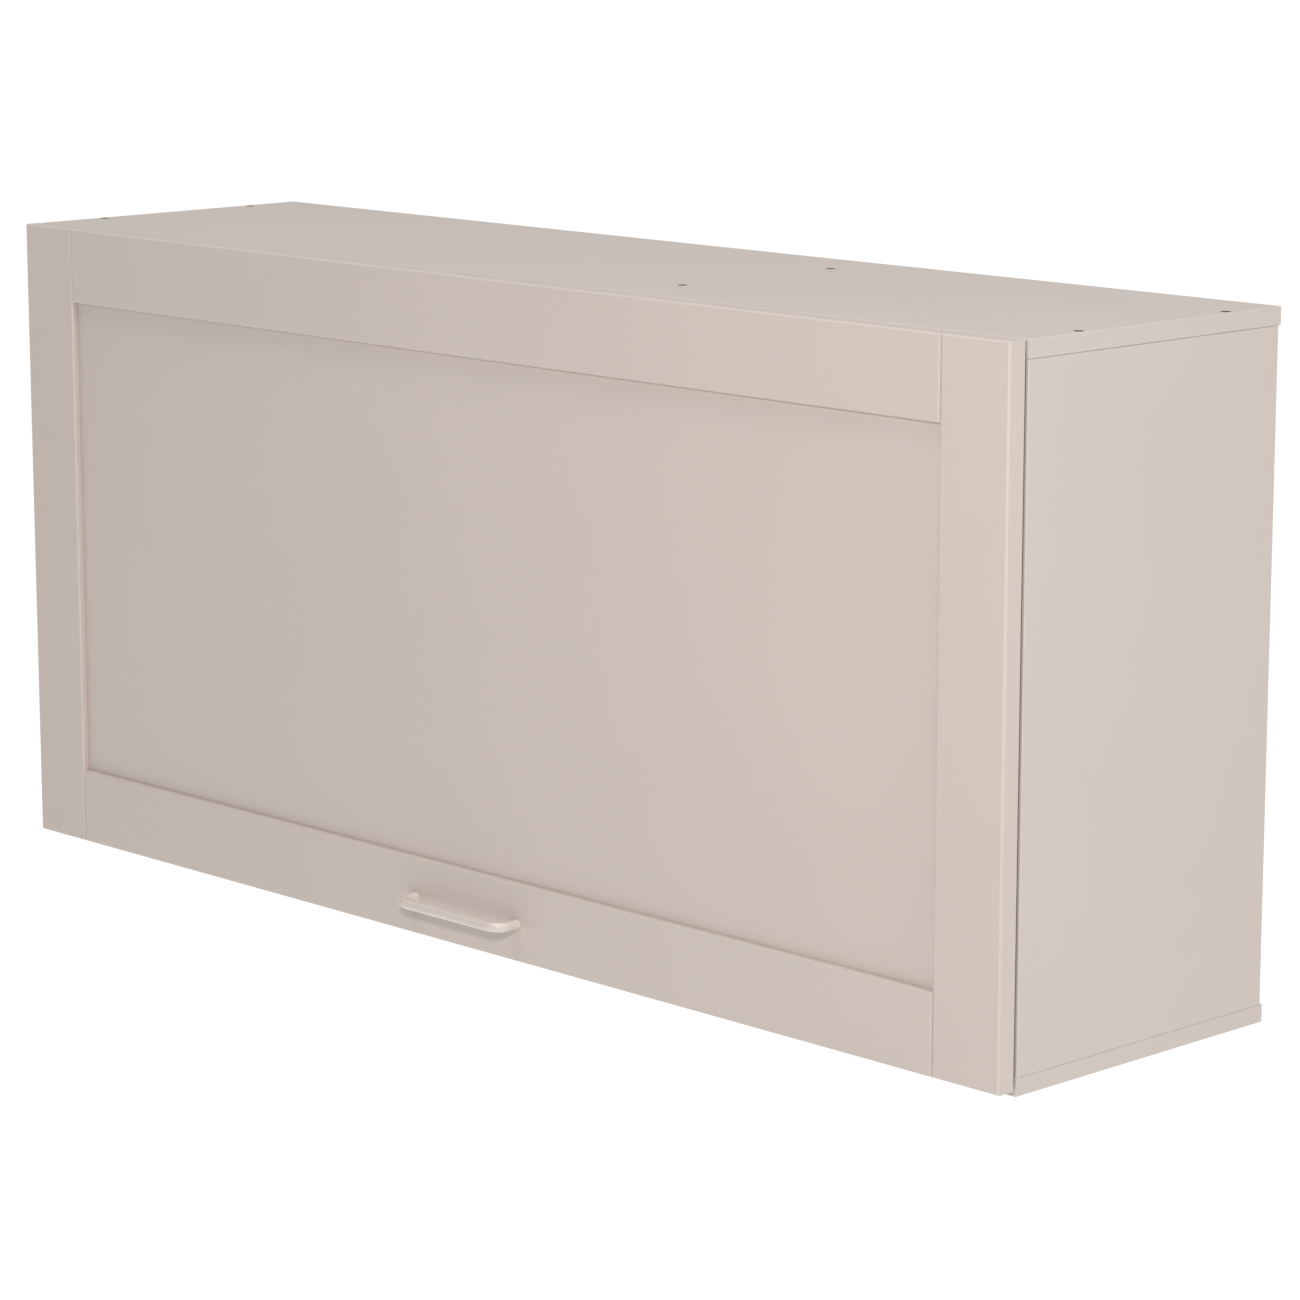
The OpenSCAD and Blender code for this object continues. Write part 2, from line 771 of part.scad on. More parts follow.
// The cup sits in the flap's top rail. Two cheeks in it carry the pin, and the arm's neck turns between them.
module hingeCup(x) {
    cheekX = neckWidth / 2 + cheekGap;
    innerY = flapRearY - cupDepth + cupWall;
    difference() {
        union() {
            cylinderY(x, flapRearY - cupDepth, cupZ, cupRadius, cupDepth);
            cylinderY(x, flapRearY, cupZ, cupFlangeRadius, cupFlangeThickness);
            for (side = [-1, 1])
                cylinderY(
                    x + side * cupScrewX, flapRearY, cupZ - cupScrewDrop, cupWingRadius, cupFlangeThickness
                );
            translate([x - cupScrewX, flapRearY, cupZ - cupScrewDrop - cupWingRadius])
                cube([2 * cupScrewX, cupFlangeThickness, 2 * cupWingRadius]);
        }
        difference() {
            cylinderY(x, innerY, cupZ, cupInnerRadius, cupDepth + cutOverrun);
            for (side = [-1, 1])
                translate([
                    x + side * (cheekX + cupRadius / 2) - cupRadius / 2, innerY - cutOverrun,
                    pinZ - cheekHalfHeight
                ])
                    cube([cupRadius, pinDepth + eyeRadius + cheekGap, 2 * cupRadius]);
        }
        cylinderX(x - cupRadius, pinY, pinZ, pinRadius, 2 * cupRadius);
        for (side = [-1, 1])
            cylinderY(
                x + side * cupScrewX, flapRearY - cutOverrun, cupZ - cupScrewDrop, cupScrewRadius,
                cupFlangeThickness + 2 * cutOverrun
            );
    }
}

module left_hinge_cup() { color(steelColour) hingeCup(hingeXs[0]); }

module middle_hinge_cup() { color(steelColour) hingeCup(hingeXs[1]); }

module right_hinge_cup() { color(steelColour) hingeCup(hingeXs[2]); }

module hinge_pins() {
    color(steelColour)
        for (x = hingeXs)
            cylinderX(x - pinHalfLength, pinY, pinZ, pinRadius, 2 * pinHalfLength);
}

module hinge_cup_screws() {
    color(steelColour)
        for (x = hingeXs, side = [-1, 1]) {
            cylinderY(
                x + side * cupScrewX, flapRearY - cupDepth + 1, cupZ - cupScrewDrop, cupScrewRadius,
                cupDepth - 1 + cupFlangeThickness
            );
            difference() {
                cylinderY(
                    x + side * cupScrewX, flapRearY + cupFlangeThickness, cupZ - cupScrewDrop,
                    cupScrewRadius * 1.9, 0.8
                );
                translate([x + side * cupScrewX, flapRearY + cupFlangeThickness + 0.8, cupZ - cupScrewDrop])
                    cube([0.8, 0.8, 4], center = true);
            }
        }
}

// The neck's side view: down from the eye, then back under the top panel
module neckProfile() {
    half = neckThickness / 2;
    innerCorner = [pinY + half, armTopZ];
    outerRadius = neckBendRadius + neckThickness;
    difference() {
        union() {
            translate([pinY, pinZ]) circle(eyeRadius);
            translate([pinY - half, armTopZ]) square([neckThickness, pinZ - armTopZ]);
            translate([pinY - half, neckBottomZ])
                square([channelFrontY + channelWall - pinY + half, neckThickness]);
            translate(innerCorner) square(neckBendRadius);
        }
        translate(innerCorner + [neckBendRadius, neckBendRadius]) circle(neckBendRadius);
        translate([pinY - half, neckBottomZ])
            difference() {
                translate([-cutOverrun, -cutOverrun]) square(outerRadius + cutOverrun);
                translate([outerRadius, outerRadius]) circle(outerRadius);
            }
        translate([pinY, pinZ]) circle(pinRadius + pinPlay);
    }
}

// The arm: a gooseneck with its eye on the pin, and a channel that closes over the plate's rail
module hingeArm(x) {
    channelBottomZ = innerTopZ - plateWingThickness - 0.2 - channelHeight;
    alongX(x - neckWidth / 2, x + neckWidth / 2) neckProfile();
    difference() {
        translate([x - channelWidth / 2, channelFrontY, channelBottomZ])
            linear_extrude(channelHeight)
                roundedRectangle([channelWidth, channelLength], [1, 1, 4, 4]);
        translate([
            x - channelWidth / 2 + channelWall, channelFrontY + channelWall, channelBottomZ + channelWall
        ])
            cube([channelWidth - 2 * channelWall, channelLength, channelHeight]);
        translate([x, armScrewY, channelBottomZ - cutOverrun])
            cylinder(r = armScrewRadius, h = channelWall + 2 * cutOverrun);
    }
}

module left_hinge_arm() { color(steelColour) hingeArm(hingeXs[0]); }

module middle_hinge_arm() { color(steelColour) hingeArm(hingeXs[1]); }

module right_hinge_arm() { color(steelColour) hingeArm(hingeXs[2]); }

// The plate: two screwed wings and a rail that the arm slides on
module hingePlate(x) {
    railHeightZ = channelHeight - channelWall + plateWingThickness + 0.2;
    difference() {
        union() {
            translate([x - plateRailWidth / 2, plateFrontY, innerTopZ - railHeightZ])
                cube([plateRailWidth, plateLength, railHeightZ]);
            translate([x, plateScrewY, innerTopZ - plateWingThickness])
                for (side = [-1, 1])
                    translate([side * plateScrewX, 0, 0]) cylinder(r = 6, h = plateWingThickness);
            translate([x - plateScrewX, plateScrewY - 6, innerTopZ - plateWingThickness])
                cube([2 * plateScrewX, 12, plateWingThickness]);
        }
        for (side = [-1, 1])
            translate([x + side * plateScrewX, plateScrewY, innerTopZ - plateWingThickness - cutOverrun])
                cylinder(r = plateScrewRadius, h = plateWingThickness + 2 * cutOverrun);
        translate([x, armScrewY, innerTopZ - railHeightZ - cutOverrun])
            cylinder(r = armScrewRadius, h = railHeightZ);
    }
}

module left_hinge_plate() { color(steelColour) hingePlate(hingeXs[0]); }

module middle_hinge_plate() { color(steelColour) hingePlate(hingeXs[1]); }

module right_hinge_plate() { color(steelColour) hingePlate(hingeXs[2]); }

module hinge_plate_screws() {
    color(steelColour)
        for (x = hingeXs, side = [-1, 1])
            translate([x + side * plateScrewX, plateScrewY, innerTopZ - plateWingThickness]) {
                cylinder(r = plateScrewRadius, h = plateScrewLength);
                translate([0, 0, -plateScrewHeadHeight])
                    cylinder(r = plateScrewHeadRadius, h = plateScrewHeadHeight);
            }
}

module hinge_arm_screws() {
    webZ = innerTopZ - plateWingThickness - 0.2 - channelHeight;
    color(steelColour)
        for (x = hingeXs)
            translate([x, armScrewY, webZ]) {
                cylinder(r = armScrewRadius, h = channelHeight);
                translate([0, 0, -armScrewHeadHeight])
                    cylinder(r = armScrewHeadRadius, h = armScrewHeadHeight);
            }
}

// ---- gas struts ----

// Local Z runs along the closed strut, from its lower ball to its upper one
module alongStrut() {
    translate([strutX, lowerBall[0], lowerBall[1]]) rotate([strutTilt, 0, 0]) children();
}

// A socket round a ball at the origin, with its mouth at mouthSide along X and its shank along Z
module ballSocket(mouthSide, shankSide) {
    difference() {
        union() {
            translate([-mouthSide * (ballRadius + socketWall), 0, 0])
                rotate([0, mouthSide * 90, 0])
                    cylinder(r = socketRadius, h = ballRadius + socketWall + socketMouth - 1);
            mirror([0, 0, shankSide < 0 ? 1 : 0])
                translate([0, 0, socketRadius - 2])
                    cylinder(r = socketShankRadius, h = socketShankEnd - socketRadius + 2);
        }
        sphere(ballRadius + ballPlay);
        rotate([0, mouthSide * 90, 0]) cylinder(r = studNeckRadius + studNeckPlay, h = 2 * socketMouth);
    }
}

// A ball with its neck and foot, out to reach along X
module ballStud(side, reach) {
    sphere(ballRadius);
    rotate([0, side * 90, 0]) cylinder(r = studNeckRadius, h = reach);
    translate([side * (reach - studFootHeight), 0, 0])
        rotate([0, side * 90, 0])
            cylinder(r = studFootRadius, h = studFootHeight);
}

// The anchor: a plate on the side panel with the lower ball stud riveted to it
module strutAnchor() {
    difference() {
        translate([
            insideX - bracketThickness, lowerBall[0] - anchorWidth / 2, lowerBall[1] - anchorHeight / 2
        ])
            rotate([90, 0, 90])
                linear_extrude(bracketThickness)
                    roundedRectangle([anchorWidth, anchorHeight], [for (i = [0:3]) anchorCorner]);
        for (offset = [-1, 1])
            cylinderX(
                insideX - bracketThickness - cutOverrun, lowerBall[0],
                lowerBall[1] + offset * anchorScrewOffset, strutScrewRadius,
                bracketThickness + 2 * cutOverrun
            );
    }
    translate([strutX, lowerBall[0], lowerBall[1]]) ballStud(1, strutSideGap - bracketThickness);
}

module left_strut_anchor() { color(steelColour) onSide(-1) strutAnchor(); }

module right_strut_anchor() { color(steelColour) onSide(1) strutAnchor(); }

module strut_anchor_screws() {
    headX = insideX - bracketThickness;
    color(steelColour)
        for (side = [-1, 1], offset = [-1, 1])
            onSide(side) {
                cylinderX(
                    headX, lowerBall[0], lowerBall[1] + offset * anchorScrewOffset, strutScrewRadius,
                    strutScrewLength
                );
                cylinderX(
                    headX - strutScrewHeadHeight, lowerBall[0], lowerBall[1] + offset * anchorScrewOffset,
                    strutScrewHeadRadius, strutScrewHeadHeight
                );
            }
}

// The tube is closed below and turned in over the guide above
module strutTube() {
    inner = tubeRadius - tubeWall;
    alongStrut()
        rotate_extrude()
            difference() {
                translate([0, socketShankEnd]) square([tubeRadius, tubeEnd - socketShankEnd]);
                translate([0, socketShankEnd + tubeBase])
                    square([inner, tubeEnd - guideLip - socketShankEnd - tubeBase]);
                translate([0, tubeEnd - guideLip - cutOverrun])
                    square([inner - tubeWall, guideLip + 2 * cutOverrun]);
            }
}

module left_strut_tube() { color(darkColour) onSide(-1) strutTube(); }

module right_strut_tube() { color(darkColour) onSide(1) strutTube(); }

module strutGuide() {
    alongStrut()
        translate([0, 0, tubeEnd - guideLip - guideLength])
            difference() {
                cylinder(r = tubeRadius - tubeWall, h = guideLength);
                translate([0, 0, -cutOverrun])
                    cylinder(r = rodRadius + rodPlay, h = guideLength + 2 * cutOverrun);
            }
}

module left_strut_guide() { color(darkColour) onSide(-1) strutGuide(); }

module right_strut_guide() { color(darkColour) onSide(1) strutGuide(); }

module left_tube_socket() { color(darkColour) onSide(-1) alongStrut() ballSocket(1, 1); }

module right_tube_socket() { color(darkColour) onSide(1) alongStrut() ballSocket(1, 1); }

// The rod with its piston, which stops on the guide when the strut is out
module strutRod() {
    alongStrut() {
        translate([0, 0, pistonStart])
            cylinder(r = rodRadius, h = strutLength - socketShankEnd - pistonStart);
        translate([0, 0, pistonStart]) cylinder(r = tubeRadius - tubeWall - pistonPlay, h = pistonHeight);
    }
}

module left_strut_rod() { color(steelColour) onSide(-1) strutRod(); }

module right_strut_rod() { color(steelColour) onSide(1) strutRod(); }

module rodSocket() {
    alongStrut() translate([0, 0, strutLength]) ballSocket(-1, -1);
}

module left_rod_socket() { color(darkColour) onSide(-1) rodSocket(); }

module right_rod_socket() { color(darkColour) onSide(1) rodSocket(); }

module rodStud() {
    translate([strutX, upperBall[0], upperBall[1]]) ballStud(-1, strutX - bracketFaceX - studGap);
}

module left_rod_stud() { color(steelColour) onSide(-1) rodStud(); }

module right_rod_stud() { color(steelColour) onSide(1) rodStud(); }

// The bracket on the flap: a screwed foot, and a flange whose nose carries the upper ball stud
module strutBracket() {
    difference() {
        union() {
            translate([bracketFaceX - bracketFootWidth, flapRearY, upperBall[1] - bracketFootHeight / 2])
                cube([bracketFootWidth, bracketThickness, bracketFootHeight]);
            alongX(bracketFaceX - bracketThickness, bracketFaceX) {
                translate([flapRearY, upperBall[1] - bracketNose]) square([strutStandoff, 2 * bracketNose]);
                translate(upperBall) circle(bracketNose);
            }
            cylinderX(
                bracketFaceX - bracketThickness - rivetHeadHeight, upperBall[0], upperBall[1],
                rivetHeadRadius, rivetHeadHeight
            );
        }
        for (offset = [-1, 1])
            cylinderY(
                bracketFaceX - bracketFootWidth / 2, flapRearY - cutOverrun,
                upperBall[1] + offset * bracketScrewOffset, strutScrewRadius,
                bracketThickness + 2 * cutOverrun
            );
    }
}

module left_strut_bracket() { color(steelColour) onSide(-1) strutBracket(); }

module right_strut_bracket() { color(steelColour) onSide(1) strutBracket(); }

module strut_bracket_screws() {
    x = bracketFaceX - bracketFootWidth / 2;
    color(steelColour)
        for (side = [-1, 1], offset = [-1, 1])
            onSide(side) {
                cylinderY(
                    x, flapRearY - strutScrewLength + bracketThickness,
                    upperBall[1] + offset * bracketScrewOffset, strutScrewRadius, strutScrewLength
                );
                cylinderY(
                    x, flapRearY + bracketThickness, upperBall[1] + offset * bracketScrewOffset,
                    strutScrewHeadRadius, strutScrewHeadHeight
                );
            }
}

top_panel();
bottom_panel();
left_side_panel();
right_side_panel();
partition();
left_back_sheet();
right_back_sheet();
left_batten();
right_batten();
left_shelf();
right_shelf();
shelf_pins();
top_screws();
bottom_screws();
carcase_dowels();
batten_dowels();
back_nails();
flap_bumpers();
left_hinge_plate();
middle_hinge_plate();
right_hinge_plate();
left_hinge_arm();
middle_hinge_arm();
right_hinge_arm();
hinge_plate_screws();
hinge_arm_screws();
left_strut_anchor();
right_strut_anchor();
strut_anchor_screws();
left_strut_tube();
right_strut_tube();
left_strut_guide();
right_strut_guide();
left_tube_socket();
right_tube_socket();
left_strut_rod();
right_strut_rod();
left_rod_socket();
right_rod_socket();
left_rod_stud();
right_rod_stud();
flap_left_stile();
flap_right_stile();
flap_top_rail();
flap_bottom_rail();
flap_panel();
handle();
handle_screws();
left_hinge_cup();
middle_hinge_cup();
right_hinge_cup();
hinge_pins();
hinge_cup_screws();
left_strut_bracket();
right_strut_bracket();
strut_bracket_screws();
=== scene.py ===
import json
import math

import bmesh
import bpy
from mathutils import Matrix, Vector


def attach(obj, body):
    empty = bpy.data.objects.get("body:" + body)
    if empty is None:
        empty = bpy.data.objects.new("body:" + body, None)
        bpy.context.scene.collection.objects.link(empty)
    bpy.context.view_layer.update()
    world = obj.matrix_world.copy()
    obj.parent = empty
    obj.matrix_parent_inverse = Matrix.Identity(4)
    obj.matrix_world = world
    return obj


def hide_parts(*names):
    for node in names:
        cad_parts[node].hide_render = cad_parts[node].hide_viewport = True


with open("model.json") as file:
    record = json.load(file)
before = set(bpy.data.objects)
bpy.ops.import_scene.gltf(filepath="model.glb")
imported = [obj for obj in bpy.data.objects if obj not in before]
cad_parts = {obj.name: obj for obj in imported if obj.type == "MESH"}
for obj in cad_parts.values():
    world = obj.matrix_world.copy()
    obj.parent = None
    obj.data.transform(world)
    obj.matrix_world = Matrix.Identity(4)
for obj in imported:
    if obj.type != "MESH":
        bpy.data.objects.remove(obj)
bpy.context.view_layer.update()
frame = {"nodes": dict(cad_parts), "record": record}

nodes = frame["nodes"]
print("frame loaded,", len(nodes), "nodes")


def linearColour(hexValue):
    # sRGB hex to the linear values that shaders and lights take
    channels = [int(hexValue[i:i + 2], 16) / 255 for i in (1, 3, 5)]
    return tuple(c / 12.92 if c <= 0.04045 else ((c + 0.055) / 1.055) ** 2.4 for c in channels) + (1.0,)


def metres(sizeInMm):
    return sizeInMm / 1000


def perMetre(sizeInMm):
    # how often a pattern of this real size repeats in a metre, which is a texture's scale
    return 1000 / sizeInMm


def addNode(tree, kind, values=None, links=None, **settings):
    # a node with its settings, fixed socket values and incoming links
    node = tree.nodes.new(kind)
    for name, value in settings.items():
        setattr(node, name, value)
    for socket, value in (values or {}).items():
        node.inputs[socket].default_value = value
    for socket, source in (links or {}).items():
        tree.links.new(source, node.inputs[socket])
    return node


# A mix node's sockets share their names, so they go by number
mixShare = 0  # how much of the second colour or vector is taken
firstColour, secondColour, mixedColour = 6, 7, 2
firstVector, secondVector, mixedVector = 4, 5, 1


def newMaterial(name, values):
    # a material with its shader's fixed values set, and the coordinates that its patterns read
    material = bpy.data.materials.new(name)
    material.use_nodes = True
    tree = material.node_tree
    shader = tree.nodes["Principled BSDF"]
    for socket, value in values.items():
        shader.inputs[socket].default_value = value
    return material, tree, shader, addNode(tree, "ShaderNodeTexCoord").outputs


# Particle board faced with melamine paper, pressed against a plate with a fine pearl grain: an even
# colour and a satin sheen that the grain breaks up. What looks to the wall was sawn and shows raw
# chips, and drilled holes' walls are painted dark, as painted shade for the depth of each hole.
melamineBoard = {
    "colour": "#BCB2AB", "shade": "#B9AFA8", "cloudMm": 90,
    "grainMm": 1.6, "grainDepthMm": 0.010,  # the real pearls are 0.3 mm across, too fine to show
    "roughness": 0.45, "roughnessSpread": 0.05, "ior": 1.5,
    "chip": "#8F6B49", "chipShade": "#5E442D", "chipMm": 2.5, "chipDepthMm": 0.25,
    "paintedBoreShade": "#4B4039",  # painted shade: a hole's wall is coloured darker than a sawn edge, standing in for the shade in it
    "rimShare": 0.0025,  # the share of a board's size that its rounded, banded rim takes
    "facedNormal": 0.9,  # a faced side's normal has at least this much along the board's thickness
    "rearNormal": 0.5,  # and a sawn rear's has more than this towards the wall
}

# Fibreboard pressed with a matt foil, wrapped over the rounded edges: smoother than the melamine,
# with a faint orange peel and a slightly tighter sheen.
foilFront = {
    "colour": "#BDB1A9", "shade": "#BAAEA6", "cloudMm": 120, "grainMm": 3.5, "grainDepthMm": 0.012,
    "roughness": 0.44, "roughnessSpread": 0.04, "ior": 1.5,
}


def facedBoard(name, look, thicknessAxis=None):
    # thicknessAxis is given where holes and rear edges are raw: 0, 1 or 2 for a board thin along X, Y or Z
    material, tree, shader, coordinates = newMaterial(name, {"IOR": look["ior"]})
    place = coordinates["Object"]
    cloud = addNode(
        tree, "ShaderNodeTexNoise", {"Scale": perMetre(look["cloudMm"]), "Detail": 3.0}, {"Vector": place}
    )
    colour = addNode(
        tree, "ShaderNodeMix",
        {firstColour: linearColour(look["shade"]), secondColour: linearColour(look["colour"])},
        {mixShare: cloud.outputs["Fac"]}, data_type="RGBA",
    ).outputs[mixedColour]
    grain = addNode(
        tree, "ShaderNodeTexNoise", {"Scale": perMetre(look["grainMm"]), "Detail": 2.0}, {"Vector": place}
    )
    sheen = addNode(
        tree, "ShaderNodeMapRange",
        {
            "To Min": look["roughness"] - look["roughnessSpread"],
            "To Max": look["roughness"] + look["roughnessSpread"],
        },
        {"Value": grain.outputs["Fac"]},
    )
    relief = addNode(
        tree, "ShaderNodeBump", {"Distance": metres(look["grainDepthMm"])}, {"Height": grain.outputs["Fac"]}
    ).outputs["Normal"]
    if thicknessAxis is not None:
        facing = addNode(tree, "ShaderNodeSeparateXYZ", links={0: coordinates["Normal"]}).outputs
        spot = addNode(tree, "ShaderNodeSeparateXYZ", links={0: coordinates["Generated"]}).outputs
        middle = 0.5  # a generated coordinate runs from 0 to 1 across the board
        flatness = addNode(tree, "ShaderNodeMath", links={0: facing[thicknessAxis]}, operation="ABSOLUTE")
        drilled = addNode(
            tree, "ShaderNodeMath", {1: look["facedNormal"]}, {0: flatness.outputs[0]}, operation="LESS_THAN"
        )
        for axis in {0, 1, 2} - {thicknessAxis}:
            offMiddle = addNode(tree, "ShaderNodeMath", {1: middle}, {0: spot[axis]}, operation="SUBTRACT")
            distance = addNode(tree, "ShaderNodeMath", links={0: offMiddle.outputs[0]}, operation="ABSOLUTE")
            within = addNode(
                tree, "ShaderNodeMath", {1: middle - look["rimShare"]}, {0: distance.outputs[0]},
                operation="LESS_THAN",
            )
            drilled = addNode(
                tree, "ShaderNodeMath", links={0: drilled.outputs[0], 1: within.outputs[0]},
                operation="MULTIPLY",
            )
        rearEdge = addNode(
            tree, "ShaderNodeMath", {1: look["rearNormal"]}, {0: facing[1]}, operation="GREATER_THAN"
        )
        raw = addNode(
            tree, "ShaderNodeMath", links={0: drilled.outputs[0], 1: rearEdge.outputs[0]}, operation="MAXIMUM"
        )
        chips = addNode(
            tree, "ShaderNodeTexVoronoi", {"Scale": perMetre(look["chipMm"])}, {"Vector": place}
        )
        tone = addNode(tree, "ShaderNodeSeparateColor", links={0: chips.outputs["Color"]})
        sawnColour = addNode(
            tree, "ShaderNodeMix",
            {firstColour: linearColour(look["chipShade"]), secondColour: linearColour(look["chip"])},
            {mixShare: tone.outputs[0]}, data_type="RGBA",
        ).outputs[mixedColour]
        # painted shade: the walls of drilled holes take the dark bore colour; sawn rear edges keep the chips'
        chipsAndPaintedBoreShade = addNode(
            tree, "ShaderNodeMix", {secondColour: linearColour(look["paintedBoreShade"])},
            {mixShare: drilled.outputs[0], firstColour: sawnColour}, data_type="RGBA",
        ).outputs[mixedColour]
        chipRelief = addNode(
            tree, "ShaderNodeBump", {"Distance": metres(look["chipDepthMm"])},
            {"Height": chips.outputs["Distance"]},
        ).outputs["Normal"]
        colour = addNode(
            tree, "ShaderNodeMix",
            links={mixShare: raw.outputs[0], firstColour: colour, secondColour: chipsAndPaintedBoreShade},
            data_type="RGBA",
        ).outputs[mixedColour]
        relief = addNode(
            tree, "ShaderNodeMix",
            links={mixShare: raw.outputs[0], firstVector: relief, secondVector: chipRelief},
            data_type="VECTOR",
        ).outputs[mixedVector]
    tree.links.new(colour, shader.inputs["Base Color"])
    tree.links.new(sheen.outputs[0], shader.inputs["Roughness"])
    tree.links.new(relief, shader.inputs["Normal"])
    return material


lyingMelamine = facedBoard("melamineFacedBoard.lying", melamineBoard, 2)
uprightMelamine = facedBoard("melamineFacedBoard.upright", melamineBoard, 0)
battenMelamine = facedBoard("melamineFacedBoard.batten", melamineBoard, 1)
flapFoil = facedBoard("foilPressedFibreboard", foilFront)

# Hardboard, hot-pressed on a wire screen: the side in the cabinet is printed greige, the side to the
# wall stays brown and fibrous, with the screen's print all over it.
hardboard = {
    "print": "#B9AFA7", "fibre": "#9A7450", "fibreShade": "#5C4029",
    "fibreMm": 45, "fibreStretch": 2,  # the clouds that the pulp's fibres settle in, wider than high
    "screenMm": 3,  # the screen's wires are 1.5 mm apart; drawn twice as coarse to show
    "screenDepthMm": 0.12, "roughness": 0.62, "ior": 1.5,
    "printedNormal": 0.5,  # a printed side's normal has more than this away from the wall
}


def pressedHardboard(name, look):
    material, tree, shader, coordinates = newMaterial(
        name, {"IOR": look["ior"], "Roughness": look["roughness"]}
    )
    place = coordinates["Object"]
    facing = addNode(tree, "ShaderNodeSeparateXYZ", links={0: coordinates["Normal"]})
    printed = addNode(
        tree, "ShaderNodeMath", {1: -look["printedNormal"]}, {0: facing.outputs[1]}, operation="LESS_THAN"
    )
    drawn = addNode(
        tree, "ShaderNodeMapping", {"Scale": (1.0, 1.0, look["fibreStretch"])}, {"Vector": place}
    )
    fibres = addNode(
        tree, "ShaderNodeTexNoise", {"Scale": perMetre(look["fibreMm"]), "Detail": 8.0, "Roughness": 0.8},
        {"Vector": drawn.outputs[0]},
    )
    raw = addNode(
        tree, "ShaderNodeMix",
        {firstColour: linearColour(look["fibreShade"]), secondColour: linearColour(look["fibre"])},
        {mixShare: fibres.outputs["Fac"]}, data_type="RGBA",
    )
    colour = addNode(
        tree, "ShaderNodeMix", {secondColour: linearColour(look["print"])},
        {mixShare: printed.outputs[0], firstColour: raw.outputs[mixedColour]}, data_type="RGBA",
    )
    radiansPerMetre = 20  # how fast the bands of a wave texture of scale 1 run
    waveScale = perMetre(look["screenMm"]) * math.tau / radiansPerMetre
    wires = [
        addNode(
            tree, "ShaderNodeTexWave", {"Scale": waveScale}, {"Vector": place}, bands_direction=direction
        ).outputs["Fac"]
        for direction in ("X", "Z")
    ]
    screen = addNode(tree, "ShaderNodeMath", links={0: wires[0], 1: wires[1]}, operation="MULTIPLY")
    unprinted = addNode(tree, "ShaderNodeMath", {0: 1.0}, {1: printed.outputs[0]}, operation="SUBTRACT")
    relief = addNode(
        tree, "ShaderNodeBump", {"Distance": metres(look["screenDepthMm"])},
        {"Height": screen.outputs[0], "Strength": unprinted.outputs[0]},
    )
    tree.links.new(colour.outputs[mixedColour], shader.inputs["Base Color"])
    tree.links.new(relief.outputs["Normal"], shader.inputs["Normal"])
    return material


backHardboard = pressedHardboard("screenPressedHardboard", hardboard)

# Beech, turned and fluted into dowels: pale, dense wood with short pores along each dowel
beechDowel = {
    "wood": "#D3B088", "poreShade": "#A97F56", "poreMm": 1.2, "poreStretch": 0.15,
    "roughness": 0.6, "ior": 1.5,
}


def turnedBeech(name, look):
    material, tree, shader, coordinates = newMaterial(
        name, {"IOR": look["ior"], "Roughness": look["roughness"]}
    )
    drawn = addNode(
        tree, "ShaderNodeMapping", {"Scale": (1.0, 1.0, look["poreStretch"])},
        {"Vector": coordinates["Object"]},
    )
    pores = addNode(
        tree, "ShaderNodeTexNoise", {"Scale": perMetre(look["poreMm"]), "Detail": 4.0},
        {"Vector": drawn.outputs[0]},
    )
    wood = addNode(
        tree, "ShaderNodeMix",
        {firstColour: linearColour(look["poreShade"]), secondColour: linearColour(look["wood"])},
        {mixShare: pores.outputs["Fac"]}, data_type="RGBA",
    )
    tree.links.new(wood.outputs[mixedColour], shader.inputs["Base Color"])
    return material


dowelBeech = turnedBeech("turnedBeech", beechDowel)

# Steel screws, pins and nails with bright zinc, barrel plated: a cool grey with soft cloudy spangles
zincPlate = {
    "colour": "#C9CACB", "shade": "#A9ABAD", "markMm": 1.5, "stretch": (1.0, 1.0, 1.0), "depthMm": 0.01,
    "roughness": 0.3, "roughnessSpread": 0.12, "edgeMm": 0.2,
}
# Stamped steel with bright nickel, rolled before it was stamped: warm, with fine lines along the strip
nickelPlate = {
    "colour": "#CDC8BF", "shade": "#B9B3A8", "markMm": 0.8, "stretch": (1.0, 0.08, 1.0), "depthMm": 0.004,
    "roughness": 0.24, "roughnessSpread": 0.08, "edgeMm": 0.35,
}
# The struts' rods, hard chromed and ground round: near mirror, with faint rings from the grinding
hardChrome = {
    "colour": "#D8D9DA", "shade": "#CBCCCE", "markMm": 0.6, "stretch": (0.05, 0.05, 1.0), "depthMm": 0.001,
    "roughness": 0.1, "roughnessSpread": 0.04, "edgeMm": 0.3,
}


def platedSteel(name, look):
    material, tree, shader, coordinates = newMaterial(name, {"Metallic": 1.0})
    drawn = addNode(
        tree, "ShaderNodeMapping", {"Scale": look["stretch"]}, {"Vector": coordinates["Object"]}
    )
    marks = addNode(
        tree, "ShaderNodeTexNoise", {"Scale": perMetre(look["markMm"]), "Detail": 3.0},
        {"Vector": drawn.outputs[0]},
    )
    colour = addNode(
        tree, "ShaderNodeMix",
        {firstColour: linearColour(look["shade"]), secondColour: linearColour(look["colour"])},
        {mixShare: marks.outputs["Fac"]}, data_type="RGBA",
    )
    sheen = addNode(
        tree, "ShaderNodeMapRange",
        {
            "To Min": look["roughness"] - look["roughnessSpread"],
            "To Max": look["roughness"] + look["roughnessSpread"],
        },
        {"Value": marks.outputs["Fac"]},
    )
    edge = addNode(tree, "ShaderNodeBevel", {"Radius": metres(look["edgeMm"])}, samples=4)
    relief = addNode(
        tree, "ShaderNodeBump", {"Distance": metres(look["depthMm"])},
        {"Height": marks.outputs["Fac"], "Normal": edge.outputs[0]},
    )
    tree.links.new(colour.outputs[mixedColour], shader.inputs["Base Color"])
    tree.links.new(sheen.outputs[0], shader.inputs["Roughness"])
    tree.links.new(relief.outputs["Normal"], shader.inputs["Normal"])
    return material


